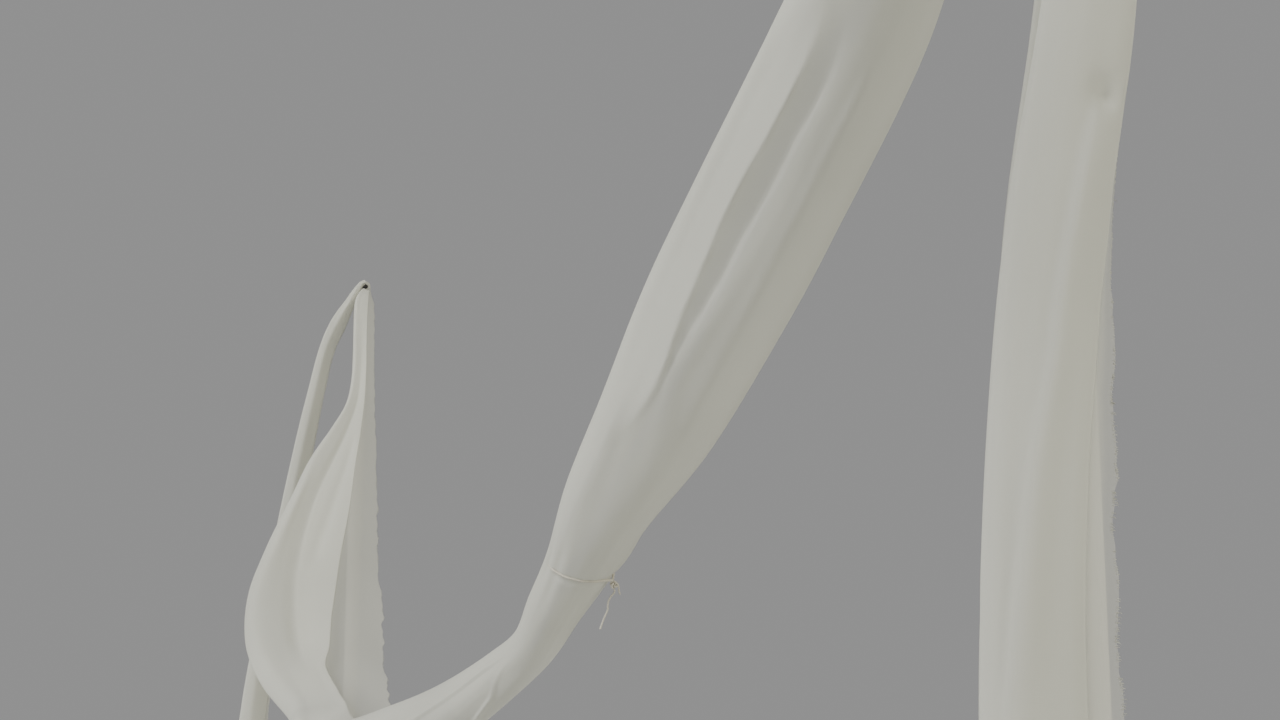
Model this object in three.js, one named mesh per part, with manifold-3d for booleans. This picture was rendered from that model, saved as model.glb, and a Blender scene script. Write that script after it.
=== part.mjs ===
// Four-pole wedding canopy: free-standing poles on steel bases, joined by long gathered scarves.
// Millimetres, +Z up, front is -Y, origin on the floor at the middle of the four poles.
import * as THREE from "three";
import { mergeVertices } from "three/addons/utils/BufferGeometryUtils.js";
import Module from "manifold-3d";

const wasm = await Module();
wasm.setup();

// Driving dimensions
const POLE_SPACING = 3050;
const SCARF_TOP = 2436;
const CLEARANCE = 0.3;

const BASE_SIDE = 400;
const BASE_THICK = 8;
const BASE_CORNER = 25;

const POLE_DIA = 32;
const LOWER_POLE_TOP = 1235;
const UPPER_POLE_TOP = 2380;

const SOCKET_OUTER_DIA = 42;
const SOCKET_HEIGHT = 200;
const SCREW_HEIGHT = 130;
const SCREW_DIA = 8;
const SCREW_LENGTH = 34;
const KNOB_DIA = 26;
const KNOB_THICK = 10;

const FERRULE_OUTER_DIA = 37;
const FERRULE_HEIGHT = 110;

const CAP_OUTER_DIA = 36;
const CAP_HEIGHT = 30;
const CAP_TOP_THICK = 4;

const HANGER_DIA = 10;
const HANGER_REACH = 62;
const SCARF_ON_HANGER = 9.4;
const HANGER_Z = SCARF_TOP - SCARF_ON_HANGER - HANGER_DIA / 2;

const TIE_CORD_DIA = 3;
const TIE_KNOT_DIA = 10;
const TIE_END_DIA = 2.2;
const TIED_SCARF_DIA = 73;

const HALF = POLE_SPACING / 2;
const ROUND_SIDES = 24;
const CLOTH_SIDES = 14;
const CLOTH_STEPS_PER_STATION = 2;

// Materials
const material = (color, roughness, metalness = 0) =>
  new THREE.MeshStandardMaterial({ color, roughness, metalness });

const steel = material(0xe6e4df, 0.45);
const wood = material(0xdedad2, 0.5);
const brass = material(0xb9b4aa, 0.35, 1);
const darkSteel = material(0x2c2c2e, 0.45, 1);
const cloth = material(0xeceae6, 0.95);
const cord = material(0xd9cdb4, 0.9);

const object = new THREE.Group();

function add(parent, name, geometry, look) {
  const mesh = new THREE.Mesh(geometry, look);
  mesh.name = name;
  parent.add(mesh);
  return mesh;
}

// Joining and cutting
function toSolid(geometry) {
  const bare = geometry.clone();
  bare.deleteAttribute("normal");
  bare.deleteAttribute("uv");
  const merged = mergeVertices(bare, 1e-4);
  return new wasm.Manifold(new wasm.Mesh({
    numProp: 3,
    vertProperties: new Float32Array(merged.attributes.position.array),
    triVerts: new Uint32Array(merged.index.array),
  }));
}

function toGeometry(solid) {
  const mesh = solid.getMesh();
  const geometry = new THREE.BufferGeometry();
  geometry.setAttribute("position", new THREE.BufferAttribute(mesh.vertProperties, 3));
  geometry.setIndex(new THREE.BufferAttribute(mesh.triVerts, 1));
  geometry.computeVertexNormals();
  return geometry;
}

// Turned shapes
function turned(profile) {
  const points = profile.map(([radius, z]) => new THREE.Vector2(radius, z));
  return new THREE.LatheGeometry(points, ROUND_SIDES).rotateX(Math.PI / 2);
}

function rod(diameter, bottom, top) {
  const radius = diameter / 2;
  return turned([[0, bottom], [radius, bottom], [radius, top], [0, top]]);
}

function tube(innerDia, outerDia, bottom, top) {
  const inner = innerDia / 2;
  const outer = outerDia / 2;
  return turned([[inner, bottom], [outer, bottom], [outer, top], [inner, top], [inner, bottom]]);
}

// A rod lying along X from one x to another, at height z
function rodAlongX(diameter, from, to, z) {
  return rod(diameter, from, to).rotateY(Math.PI / 2).translate(0, 0, z);
}

// Pole parts, each drawn round the pole's own axis
function basePlate() {
  const half = BASE_SIDE / 2;
  const flat = half - BASE_CORNER;
  const outline = new THREE.Shape();
  outline.moveTo(-flat, -half);
  outline.absarc(flat, -flat, BASE_CORNER, -Math.PI / 2, 0);
  outline.absarc(flat, flat, BASE_CORNER, 0, Math.PI / 2);
  outline.absarc(-flat, flat, BASE_CORNER, Math.PI / 2, Math.PI);
  outline.absarc(-flat, -flat, BASE_CORNER, Math.PI, Math.PI * 1.5);
  return new THREE.ExtrudeGeometry(outline, { depth: BASE_THICK, bevelEnabled: false, curveSegments: 6 });
}

function socket() {
  const top = BASE_THICK + SOCKET_HEIGHT;
  const body = toSolid(tube(POLE_DIA + 2 * CLEARANCE, SOCKET_OUTER_DIA, BASE_THICK, top));
  const hole = toSolid(rodAlongX(SCREW_DIA + 2 * CLEARANCE, 0, SOCKET_OUTER_DIA, SCREW_HEIGHT));
  return toGeometry(body.subtract(hole));
}

function clampScrew() {
  const tip = POLE_DIA / 2 + CLEARANCE;
  const knobStart = tip + SCREW_LENGTH - KNOB_THICK;
  const shank = SCREW_DIA / 2;
  const knob = KNOB_DIA / 2;
  const profile = [[0, tip], [shank, tip], [shank, knobStart], [knob, knobStart + 2],
    [knob, knobStart + KNOB_THICK - 2], [knob - 2, knobStart + KNOB_THICK], [0, knobStart + KNOB_THICK]];
  return turned(profile).rotateY(Math.PI / 2).translate(0, 0, SCREW_HEIGHT);
}

function ferrule() {
  const middle = LOWER_POLE_TOP;
  const half = FERRULE_HEIGHT / 2;
  return tube(POLE_DIA + 2 * CLEARANCE, FERRULE_OUTER_DIA, middle - half, middle + half);
}

function cap() {
  const inner = POLE_DIA / 2 + CLEARANCE;
  const outer = CAP_OUTER_DIA / 2;
  const top = UPPER_POLE_TOP + CLEARANCE + CAP_TOP_THICK;
  const under = UPPER_POLE_TOP + CLEARANCE;
  return turned([[0, under], [inner, under], [inner, top - CAP_HEIGHT], [outer, top - CAP_HEIGHT],
    [outer, top - 3], [outer - 3, top], [0, top]]);
}

// T-shaped hanger: a short stem on the cap and a cross rod from front to back
function hanger() {
  const stem = toSolid(rod(HANGER_DIA, UPPER_POLE_TOP + CLEARANCE + CAP_TOP_THICK + CLEARANCE, HANGER_Z));
  const lying = rod(HANGER_DIA, -HANGER_REACH, HANGER_REACH).rotateX(Math.PI / 2);
  const cross = toSolid(lying.translate(0, 0, HANGER_Z));
  return toGeometry(stem.add(cross));
}

function addPole(name, x, y) {
  const pole = new THREE.Group();
  pole.position.set(x, y, 0);
  if (x < 0) {
    pole.rotation.z = Math.PI;
  }
  object.add(pole);
  const join = LOWER_POLE_TOP + CLEARANCE;
  add(pole, `${name}_base_plate`, basePlate(), steel);
  add(pole, `${name}_socket`, socket(), steel);
  add(pole, `${name}_clamp_screw`, clampScrew(), brass);
  add(pole, `${name}_lower_pole`, rod(POLE_DIA, BASE_THICK + CLEARANCE, LOWER_POLE_TOP), wood);
  add(pole, `${name}_ferrule`, ferrule(), brass);
  add(pole, `${name}_upper_pole`, rod(POLE_DIA, join, UPPER_POLE_TOP), wood);
  add(pole, `${name}_cap`, cap(), brass);
  add(pole, `${name}_hanger`, hanger(), darkSteel);
}

// Gathered cloth: a closed body lofted along stations [x, y, z, width, depth].
// Depth starts along Y; where the cloth turns away from X its width settles along X.
function gathered(stations, settles = true) {
  const path = new THREE.CatmullRomCurve3(stations.map(([x, y, z]) => new THREE.Vector3(x, y, z)));
  const sizes = new THREE.CatmullRomCurve3(stations.map(([, , , w, d]) => new THREE.Vector3(w, d, 0)));
  const steps = (stations.length - 1) * CLOTH_STEPS_PER_STATION;
  const depth = new THREE.Vector3(0, 1, 0);
  const across = new THREE.Vector3();
  const settled = new THREE.Vector3();
  const positions = [];
  for (let i = 0; i <= steps; i += 1) {
    const centre = path.getPoint(i / steps);
    const run = path.getTangent(i / steps);
    const size = sizes.getPoint(i / steps);
    if (settles) {
      settled.set(1, 0, 0).cross(run);
      depth.lerp(settled, 0.5 * settled.lengthSq());
    }
    depth.addScaledVector(run, -depth.dot(run)).normalize();
    across.crossVectors(run, depth);
    for (let k = 0; k < CLOTH_SIDES; k += 1) {
      const angle = (k / CLOTH_SIDES) * Math.PI * 2;
      const point = centre.clone();
      point.addScaledVector(across, (Math.cos(angle) * size.x) / 2);
      point.addScaledVector(depth, (-Math.sin(angle) * size.y) / 2);
      positions.push(point.x, point.y, point.z);
    }
  }
  const first = path.getPoint(0);
  const last = path.getPoint(1);
  positions.push(first.x, first.y, first.z, last.x, last.y, last.z);
  const startCentre = (steps + 1) * CLOTH_SIDES;
  const index = [];
  for (let k = 0; k < CLOTH_SIDES; k += 1) {
    const next = (k + 1) % CLOTH_SIDES;
    const lastRing = steps * CLOTH_SIDES;
    index.push(startCentre, next, k);
    index.push(startCentre + 1, lastRing + k, lastRing + next);
    for (let i = 0; i < steps; i += 1) {
      const here = i * CLOTH_SIDES;
      const there = here + CLOTH_SIDES;
      index.push(here + k, here + next, there + k);
      index.push(here + next, there + next, there + k);
    }
  }
  const geometry = new THREE.BufferGeometry();
  geometry.setAttribute("position", new THREE.Float32BufferAttribute(positions, 3));
  geometry.setIndex(index);
  geometry.computeVertexNormals();
  return geometry;
}

const FRONT = -HALF;
const SIDE = HALF;
const OVER_RADIUS = HANGER_DIA / 2 + SCARF_ON_HANGER / 2;
const OVER = HANGER_Z + OVER_RADIUS;
const ON_HANGER_WIDTH = SCARF_ON_HANGER - 2 * CLEARANCE;
const ON_HANGER_DEPTH = 36;
const HANG_Y_FRONT = FRONT - 40;
const HANG_Y_BACK = HALF - 40;
const SPLIT = CLEARANCE;

// Stations round one half of a hanger's cross rod, from its top down one side
function overHanger(side, y) {
  return [0, 4, 30, 60, 85].map((degrees) => {
    const angle = (degrees / 180) * Math.PI;
    const x = SIDE + side * (SPLIT + OVER_RADIUS * Math.sin(angle));
    return [x, y, HANGER_Z + OVER_RADIUS * Math.cos(angle), ON_HANGER_WIDTH, ON_HANGER_DEPTH];
  });
}

// Front drop: hangs from the front hanger before its pole, nearly to the base plate
const frontDrop = [
  ...overHanger(1, HANG_Y_FRONT),
  [SIDE + 16, HANG_Y_FRONT - 2, 2395, 18, 34],
  [SIDE + 18, HANG_Y_FRONT - 6, 2310, 44, 40],
  [SIDE + 10, HANG_Y_FRONT - 8, 2180, 62, 46],
  [SIDE - 7, HANG_Y_FRONT - 8, 2017, 70, 50],
  [SIDE - 37, HANG_Y_FRONT - 8, 1854, 76, 52],
  [SIDE - 50, HANG_Y_FRONT - 8, 1720, 88, 52],
  [SIDE - 58, HANG_Y_FRONT - 8, 1537, 101, 52],
  [SIDE - 58, HANG_Y_FRONT - 10, 1300, 112, 54],
  [SIDE - 48, HANG_Y_FRONT - 16, 900, 126, 56],
  [SIDE - 34, HANG_Y_FRONT - 22, 500, 138, 56],
  [SIDE - 32, HANG_Y_FRONT - 26, 70, 146, 56],
];

// Side swag: leaves the front hanger, is tied a quarter of the way along, sinks to its low
// point past mid span and rises as a wide pouch to the back hanger. Wind leans it inward.
// A point on it is given by how far it lies inward of the poles, its y and its drop.
const hung = (inward, y, drop) => [SIDE - inward, y, OVER - drop];
const TIE_POINT = hung(172.5, -820, 802);
const AFTER_TIE = hung(184, -765, 847);
const BEFORE_TIE = hung(162.5, -895, 739);
const sideSwag = [
  ...overHanger(-1, HANG_Y_FRONT),
  [...hung(30, -1557, 39), 24, 38],
  [...hung(48, -1511, 91), 44, 50],
  [...hung(56, -1425, 205), 94, 84],
  [...hung(73, -1330, 342), 131, 118],
  [...hung(102, -1170, 489), 142, 138],
  [...hung(121, -1080, 572), 141, 136],
  [...hung(140.5, -980, 665), 126, 122],
  [...BEFORE_TIE, 101, 98],
  [...TIE_POINT, TIED_SCARF_DIA, TIED_SCARF_DIA],
  [...AFTER_TIE, 64, 68],
  [...hung(191, -680, 896), 54, 64],
  [...hung(206, -500, 948), 64, 76],
  [...hung(215, -250, 994), 92, 94],
  [...hung(209, 50, 1028), 144, 114],
  [...hung(199, 400, 1041), 188, 108],
  [...hung(160, 700, 997), 195, 98],
  [...hung(170, 870, 924), 248, 86],
  [...hung(172.5, 980, 854), 276, 78],
  [...hung(157.5, 1070, 770), 279, 72],
  [...hung(138, 1140, 683), 245, 68],
  [...hung(107, 1210, 569), 200, 64],
  [...hung(83, 1260, 475), 164, 60],
  [...hung(53, 1300, 391), 113, 56],
  [...hung(28, 1335, 316), 64, 50],
  [...hung(16.5, 1375, 232), 50, 44],
  [...hung(5, 1420, 140), 42, 40],
  [...hung(-8, 1462, 48), 28, 34],
  ...overHanger(1, HANG_Y_BACK).reverse(),
];

// Back tail: the narrow end of the same scarf, drifting inward behind the pouch
const backTail = [
  ...overHanger(-1, HANG_Y_BACK),
  [SIDE - 28, HANG_Y_BACK + 4, 2392, 22, 34],
  [SIDE - 55, HALF - 16, 2336, 38, 34],
  [SIDE - 78, HALF + 12, 2270, 36, 34],
  [SIDE - 98, HALF + 36, 2159, 40, 38],
  [SIDE - 116, HALF + 52, 2050, 46, 42],
  [SIDE - 140, HALF + 64, 1900, 50, 46],
  [SIDE - 178, HALF + 75, 1660, 54, 46],
  [SIDE - 208, HALF + 82, 1420, 62, 46],
  [SIDE - 222, HALF + 84, 1150, 74, 44],
  [SIDE - 226, HALF + 84, 820, 84, 40],
];

// Front valance: the header swag from one front hanger to the other
const VALANCE_SAG = 370;
const VALANCE_Y = FRONT + 40;
const VALANCE_PUFF = 150;
function frontValance() {
  const rightHalf = overHanger(-1, VALANCE_Y).slice(0, 3);
  for (const share of [0.965, 0.9, 0.78, 0.6, 0.36, 0.12]) {
    const puff = VALANCE_PUFF * Math.sqrt(1 - share * share);
    const z = OVER - VALANCE_SAG * (1 - share * share);
    rightHalf.push([share * SIDE, VALANCE_Y, z, ON_HANGER_WIDTH + puff, ON_HANGER_DEPTH + 0.7 * puff]);
  }
  const leftHalf = rightHalf.map(([x, ...rest]) => [-x, ...rest]).reverse();
  return gathered([...rightHalf, ...leftHalf], false);
}

// Cord tie round the swag: a band with its knot on the outer side, and one loose end
const TIE_RUN = new THREE.Vector3(...AFTER_TIE).sub(new THREE.Vector3(...BEFORE_TIE)).normalize();
const BAND_RADIUS = TIED_SCARF_DIA / 2 + CLEARANCE * 2 + TIE_CORD_DIA / 2;
const KNOT_OUT = BAND_RADIUS + TIE_CORD_DIA;
const TOWARD_KNOT = new THREE.Vector3(0.71, -0.6, -0.36);
const KNOT_SIDE = TOWARD_KNOT.clone().addScaledVector(TIE_RUN, -TOWARD_KNOT.dot(TIE_RUN)).normalize();
const KNOT_POINT = new THREE.Vector3(...TIE_POINT).addScaledVector(KNOT_SIDE, KNOT_OUT).toArray();

function tieBand() {
  const facing = new THREE.Quaternion().setFromUnitVectors(new THREE.Vector3(0, 0, 1), TIE_RUN);
  const ring = new THREE.TorusGeometry(BAND_RADIUS, TIE_CORD_DIA / 2, 6, 28);
  ring.applyQuaternion(facing).translate(...TIE_POINT);
  const knot = new THREE.SphereGeometry(TIE_KNOT_DIA / 2, 10, 7).translate(...KNOT_POINT);
  return toGeometry(toSolid(ring).add(toSolid(knot)));
}

function tieEnd() {
  const [x, y, z] = KNOT_POINT;
  const route = [[x, y, z - TIE_KNOT_DIA / 2 - CLEARANCE], [x - 1, y, z - 9], [x - 3.5, y + 1, z - 13.5],
    [x - 5.9, y + 2, z - 19], [x - 6.6, y + 2, z - 27.5], [x - 10.2, y + 3.4, z - 36.5],
    [x - 13.9, y + 4.8, z - 47.5]];
  const path = new THREE.CatmullRomCurve3(route.map((point) => new THREE.Vector3(...point)));
  const section = new THREE.Shape();
  for (let k = 0; k < 8; k += 1) {
    const angle = (k / 8) * Math.PI * 2;
    const step = k === 0 ? "moveTo" : "lineTo";
    section[step]((Math.cos(angle) * TIE_END_DIA) / 2, (Math.sin(angle) * TIE_END_DIA) / 2);
  }
  section.closePath();
  return new THREE.ExtrudeGeometry(section, { steps: 14, extrudePath: path, bevelEnabled: false });
}

// The left side is the right side mirrored across the middle
function mirrored(geometry) {
  const copy = geometry.clone().scale(-1, 1, 1);
  const index = copy.index ? Array.from(copy.index.array) : [...Array(copy.attributes.position.count).keys()];
  for (let i = 0; i < index.length; i += 3) {
    [index[i], index[i + 1]] = [index[i + 1], index[i]];
  }
  copy.setIndex(index);
  copy.computeVertexNormals();
  return copy;
}

function addBothSides(name, geometry, look) {
  add(object, `right_${name}`, geometry, look);
  add(object, `left_${name}`, mirrored(geometry), look);
}

addPole("front_right", HALF, -HALF);
addPole("back_right", HALF, HALF);
addPole("back_left", -HALF, HALF);
addPole("front_left", -HALF, -HALF);
addBothSides("front_drop", gathered(frontDrop), cloth);
addBothSides("side_swag", gathered(sideSwag), cloth);
addBothSides("back_tail", gathered(backTail), cloth);
add(object, "front_valance", frontValance(), cloth);
addBothSides("tie_band", tieBand(), cord);
addBothSides("tie_loose_end", tieEnd(), cord);

export default object;
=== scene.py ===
import math

import bpy
import numpy as np
from mathutils import Euler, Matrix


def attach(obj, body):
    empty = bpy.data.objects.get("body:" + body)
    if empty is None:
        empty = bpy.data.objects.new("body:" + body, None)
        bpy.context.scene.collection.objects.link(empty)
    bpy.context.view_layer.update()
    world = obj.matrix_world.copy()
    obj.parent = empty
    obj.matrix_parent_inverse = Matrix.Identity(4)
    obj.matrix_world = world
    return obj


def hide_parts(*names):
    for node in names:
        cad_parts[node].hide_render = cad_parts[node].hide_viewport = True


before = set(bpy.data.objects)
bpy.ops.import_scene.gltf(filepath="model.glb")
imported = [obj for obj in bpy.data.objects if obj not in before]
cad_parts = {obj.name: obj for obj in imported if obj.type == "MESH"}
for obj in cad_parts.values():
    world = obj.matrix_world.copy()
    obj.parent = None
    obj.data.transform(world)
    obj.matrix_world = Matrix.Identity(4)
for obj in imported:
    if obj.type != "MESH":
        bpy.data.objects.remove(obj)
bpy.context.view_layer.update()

# Sizes in metres, as in the frame. The poles stand at plus and minus HALF in X and Y.
HALF = 1.525
SIDES = (("right", 1), ("left", -1))

# Cloth, and where it goes over the hanger rods
HANGER_Z = 2.4216
HANGER_FORWARD = 0.040
OVER_RADIUS = 0.0097
SCARF_TOP = HANGER_Z + OVER_RADIUS
HOOK_TOP = SCARF_TOP + 0.002
HOOK_THICK = 0.013
HOOK_WIDTH = 0.036
SCARF_CUT_WIDTH = 0.55
VALANCE_SAG = 0.370
VALANCE_PUFF = 0.150
VALANCE_Y = -HALF + HANGER_FORWARD

# Loose threads on the raw edges: mean spacing, greatest length, root's depth in the cloth, radii
THREAD_SPACING = 0.0020
THREAD_LENGTH = 0.0045
THREAD_ROOT = 0.002
THREAD_RADII = (0.00025, 0.0005)

# Tie: where it crosses the swag's run, with its slant, as shares of the run
TIE_SHARE = 0.2808
TIE_TILT = 0.0032
TIE_LEAN = 0.0022
TIE_CORD = 0.003
TIE_END_CORD = 0.0022

# The tie's knot: its angle round the swag, its place along the run and beyond the cloth, and its size
KNOT_ANGLE = math.radians(-21)
KNOT_ALONG = 0.0009
KNOT_OUT = 2.6 * TIE_CORD
KNOT_SIZE = 0.010

# Where the tie band sinks into soft cloth, (angle, reach) round the swag, and where the knot pulls it out
BAND_SUNK = 0.004
SUNK_PLACES = ((3.30, 0.56), (0.75, 0.45))
BAND_PULLED = 0.004
PULL_REACH = 0.15

# Poles and fittings
POLE_RADIUS = 0.016
BORE_RADIUS = 0.0163
LOWER_POLE = (0.0083, 1.235)
UPPER_POLE = (1.2353, 2.380)
BASE_SIDE = 0.400
BASE_THICK = 0.008
BASE_CORNER = 0.025
SOCKET_RADIUS = 0.021
SOCKET_TOP = 0.208
SCREW_HEIGHT = 0.130
SCREW_RADIUS = 0.004
SCREW_LENGTH = 0.034
KNOB_RADIUS = 0.013
KNOB_THICK = 0.010
FERRULE_RADIUS = 0.0185
FERRULE = (1.180, 1.290)
CAP_RADIUS = 0.018
CAP = (2.3543, 2.3843)
ROD_RADIUS = 0.005
HANGER_REACH = 0.062

# The photographer's eye, with angles in degrees and the lens in millimetres
EYE = (0.772, -2.676, 1.51)
EYE_YAW = 19.27
EYE_PITCH = 10.0
LENS = 50.0
SENSOR = 36.0

# Studio; a lamp has its place, power and colour
LAMPS_AIM = (0, 0, 1.4)
LAMP_SIZE = 9
KEY = ((-13, -2, 11), 3100, (1.0, 1.0, 0.98))
FILL = ((7, -11, 3.5), 800, (1.0, 0.97, 0.80))
WORLD_COLOR = (0.30, 0.30, 0.30, 1)
FLOOR_COLOR = (0.54, 0.54, 0.54, 1)
FLOOR_SIZE = 80
FLOOR_Z = -0.001

# Voile: how much light glows through, how much is open weave, and where across the cut width the drop's
# sheer edge begins
GLOW_SHARE = 0.35
OPEN_WEAVE = 0.12
OPEN_WEAVE_AT_EDGE = 0.50
SHEER_BEGINS, SHEER_FULL = 0.523, 0.537

# Sockets of a colour Mix node: three inputs and the output
FACTOR, FIRST_COLOR, SECOND_COLOR, MIXED_COLOR = 0, 6, 7, 2


def make_camera():
    data = bpy.data.cameras.new("eye")
    data.lens = LENS
    data.sensor_width = SENSOR
    camera = bpy.data.objects.new("eye", data)
    camera.location = EYE
    camera.rotation_euler = Euler((math.radians(90 + EYE_PITCH), 0, math.radians(-EYE_YAW)))
    bpy.context.collection.objects.link(camera)
    bpy.context.scene.camera = camera


# Curves
def through(values, at):
    """Smooth values at fractional places `at` between the rows of `values`."""
    values = np.asarray(values, float)
    last = len(values) - 1
    at = np.clip(np.asarray(at, float), 0, last)
    i = np.minimum(at.astype(int), last - 1)
    f = (at - i)[:, None]
    before = values[np.maximum(i - 1, 0)]
    here, there = values[i], values[i + 1]
    after = values[np.minimum(i + 2, last)]
    lead, trail = (there - before) / 2, (after - here) / 2
    square, cube = f * f, f * f * f
    return ((2 * cube - 3 * square + 1) * here + (cube - 2 * square + f) * lead
            + (3 * square - 2 * cube) * there + (cube - square) * trail)


def run_along(points):
    """How far each point is along the line through them."""
    return np.concatenate([[0], np.cumsum(np.linalg.norm(np.diff(points, axis=0), axis=1))])


def places_at(values, shares, fine=40):
    """Fractional places along `values` at these shares of its curve's length, and that length."""
    places = np.linspace(0, len(values) - 1, fine * len(values))
    run = run_along(through(values, places))
    return np.interp(shares * run[-1], run, places), run[-1]


def unit(v):
    """Vectors along the last axis, at length 1."""
    return v / np.maximum(np.linalg.norm(v, axis=-1, keepdims=True), 1e-9)


def frames_along(points, settles):
    """Across and depth directions along a run. Depth starts along Y; across settles along X."""
    runs = unit(np.gradient(points, axis=0))
    depth = np.array([0.0, 1.0, 0.0])
    across_all, depth_all = [], []
    for run in runs:
        if settles:
            wanted = np.cross([1.0, 0, 0], run)
            depth = depth + 0.2 * wanted.dot(wanted) * (wanted - depth)
        depth = unit(depth - depth.dot(run) * run)
        across_all.append(np.cross(run, depth))
        depth_all.append(depth)
    return np.array(across_all), np.array(depth_all)


def bell(x):
    """1 at 0, falling smoothly to nothing on both sides."""
    return np.exp(-x * x)


def row_shares(rows, near, reach, extra):
    """Places of the rows from 0 to 1, closer together round `near`."""
    fine = np.linspace(0, 1, 4001)
    run = np.cumsum(1 + extra * bell((fine - near) / reach))
    return np.interp(np.linspace(run[0], run[-1], rows), run, fine)


def tie_share(angle):
    """Where along the swag's run the tie crosses the cloth, at this angle round it."""
    return TIE_SHARE + TIE_TILT * np.sin(angle) - TIE_LEAN * np.cos(angle)


def wavy(rng, s, t, along, across):
    """A smooth uneven field between about -1 and 1 over the cloth."""
    s, t = s[:, None], t[None, :]
    total = np.zeros((s.size, t.size))
    for _ in range(4):
        k, m = rng.uniform(0.4, 1.0) * along, rng.uniform(0.4, 1.0) * across
        lean, start = rng.uniform(-1, 1), rng.uniform(0, 2 * math.pi)
        total += np.sin(2 * math.pi * (k * s + m * (t + 0.4 * lean * s)) + start)
    return total / 2.4


# Cloth
class Gathered:
    """A run of gathered cloth, one layer thick, lofted along stations.

    A station is (x, y, z, width, depth, turn in degrees). A section is (share of the run, outline). An
    outline's points are (right, away), in halves of the width and depth there. On the cloth, s is the share
    along the run and t the share across it, both from 0 to 1. `push` moves it outward from its outline.
    """

    def __init__(self, stations, sections, rows, columns, settles=True, dense=(0, 1, 0)):
        stations = np.array(stations, float)
        self.s = row_shares(rows, *dense)
        self.t = np.linspace(0, 1, columns)
        places, self.length = places_at(stations[:, :3], self.s)
        self.centre = through(stations[:, :3], places)
        self.size = np.maximum(through(stations[:, 3:5], places), 0.004)
        self.turn = np.radians(through(stations[:, 5:6], places))
        self.across, self.depth = frames_along(self.centre, settles)
        self.base = self.blend(sections)
        self.push = np.zeros((len(self.s), columns))

    def blend(self, sections):
        """Section curves at each row, blended between the named ones."""
        shares = [share for share, _ in sections]
        outlines = np.array([outline for _, outline in sections], float)
        spots = np.interp(self.s, shares, np.arange(len(shares)))
        flat = through(outlines.reshape(len(outlines), -1), spots).reshape(len(self.s), -1, 2)
        curves = np.empty((len(self.s), len(self.t), 2))
        for i, outline in enumerate(flat * self.size[:, None] / 2):
            places, _ = places_at(outline, self.t, 20)
            curves[i] = through(outline, places)
        return curves

    def gather(self, at, reach, folds, height, seed):
        """Fine folds drawn in at one place, dying out over `reach` along the run."""
        rng = np.random.default_rng(seed)
        fade = bell((self.s - at) / reach)[:, None]
        phase = 2 * math.pi * folds * self.t[None, :] + 2.2 * wavy(rng, self.s, self.t, 2.5, 2.5)
        swell = 1 + 0.5 * wavy(rng, self.s, self.t, 3, 4)
        self.push += height * fade * swell * np.sin(phase)

    def fold(self, route, height, reach, left=1.0, right=1.0, fade=0.05):
        """A raised or sunken line along `route`, (s, t) points; `left` and `right` sharpen its two sides."""
        route = np.array(route, float)
        line = np.interp(self.s, route[:, 0], route[:, 1])
        ends = np.clip((self.s - route[0, 0]) / fade, 0, 1) * np.clip((route[-1, 0] - self.s) / fade, 0, 1)
        offset = (self.t[None, :] - line[:, None]) / reach
        shape = np.where(offset < 0, bell(offset * left), bell(offset * right))
        self.push += height * (ends * ends * (3 - 2 * ends))[:, None] * shape

    def dent(self, at, t, height, along, across):
        """A round swelling at (at, t), or a dimple where `height` is negative."""
        self.push += height * bell((self.s - at) / along)[:, None] * bell((self.t - t) / across)[None, :]

    def tie_in(self, depth, reach):
        """A groove under the tie, except on the left, where the cloth puffs over it."""
        line = tie_share(2 * math.pi * (0.75 + (self.t - 0.41) / 0.78))
        fade = np.clip((self.t - 0.22) / 0.10, 0, 1)
        self.push -= depth * fade[None, :] * bell((self.s[:, None] - line[None, :]) / reach)

    def ripple(self, height, along, across, seed):
        """Faint waves over the whole run."""
        self.push += height * wavy(np.random.default_rng(seed), self.s, self.t, along, across)

    def points(self, fray=0.0024):
        """The sheet's points, with its raw right edge slightly wavy."""
        step = np.gradient(self.base, axis=1)
        normal = unit(np.stack([step[..., 1], -step[..., 0]], axis=-1))
        flat = self.base + normal * self.push[..., None]
        rng = np.random.default_rng(1)
        wave = fray * (wavy(rng, self.s, self.t[:1], 40, 0) + wavy(rng, self.s, self.t[:1], 110, 0))
        near_edge = np.clip((self.t - 0.93) / 0.07, 0, 1) ** 2
        self.flat = flat = flat + unit(step) * (wave * near_edge)[..., None]
        self.right = np.cos(self.turn) * self.across + np.sin(self.turn) * self.depth
        self.away = -np.sin(self.turn) * self.across + np.cos(self.turn) * self.depth
        return (self.centre[:, None, :] + flat[..., :1] * self.right[:, None, :]
                + flat[..., 1:] * self.away[:, None, :])

    def around(self, share, angle, out):
        """The point `out` beyond the outer turn of the cloth, at this angle round the run."""
        row = int(np.argmin(abs(self.s - share)))
        radius = (self.flat[row] @ (math.cos(angle), math.sin(angle))).max() + out
        centre = np.array([np.interp(share, self.s, self.centre[:, k]) for k in range(3)])
        return centre + radius * (math.cos(angle) * self.right[row] + math.sin(angle) * self.away[row])


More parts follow.
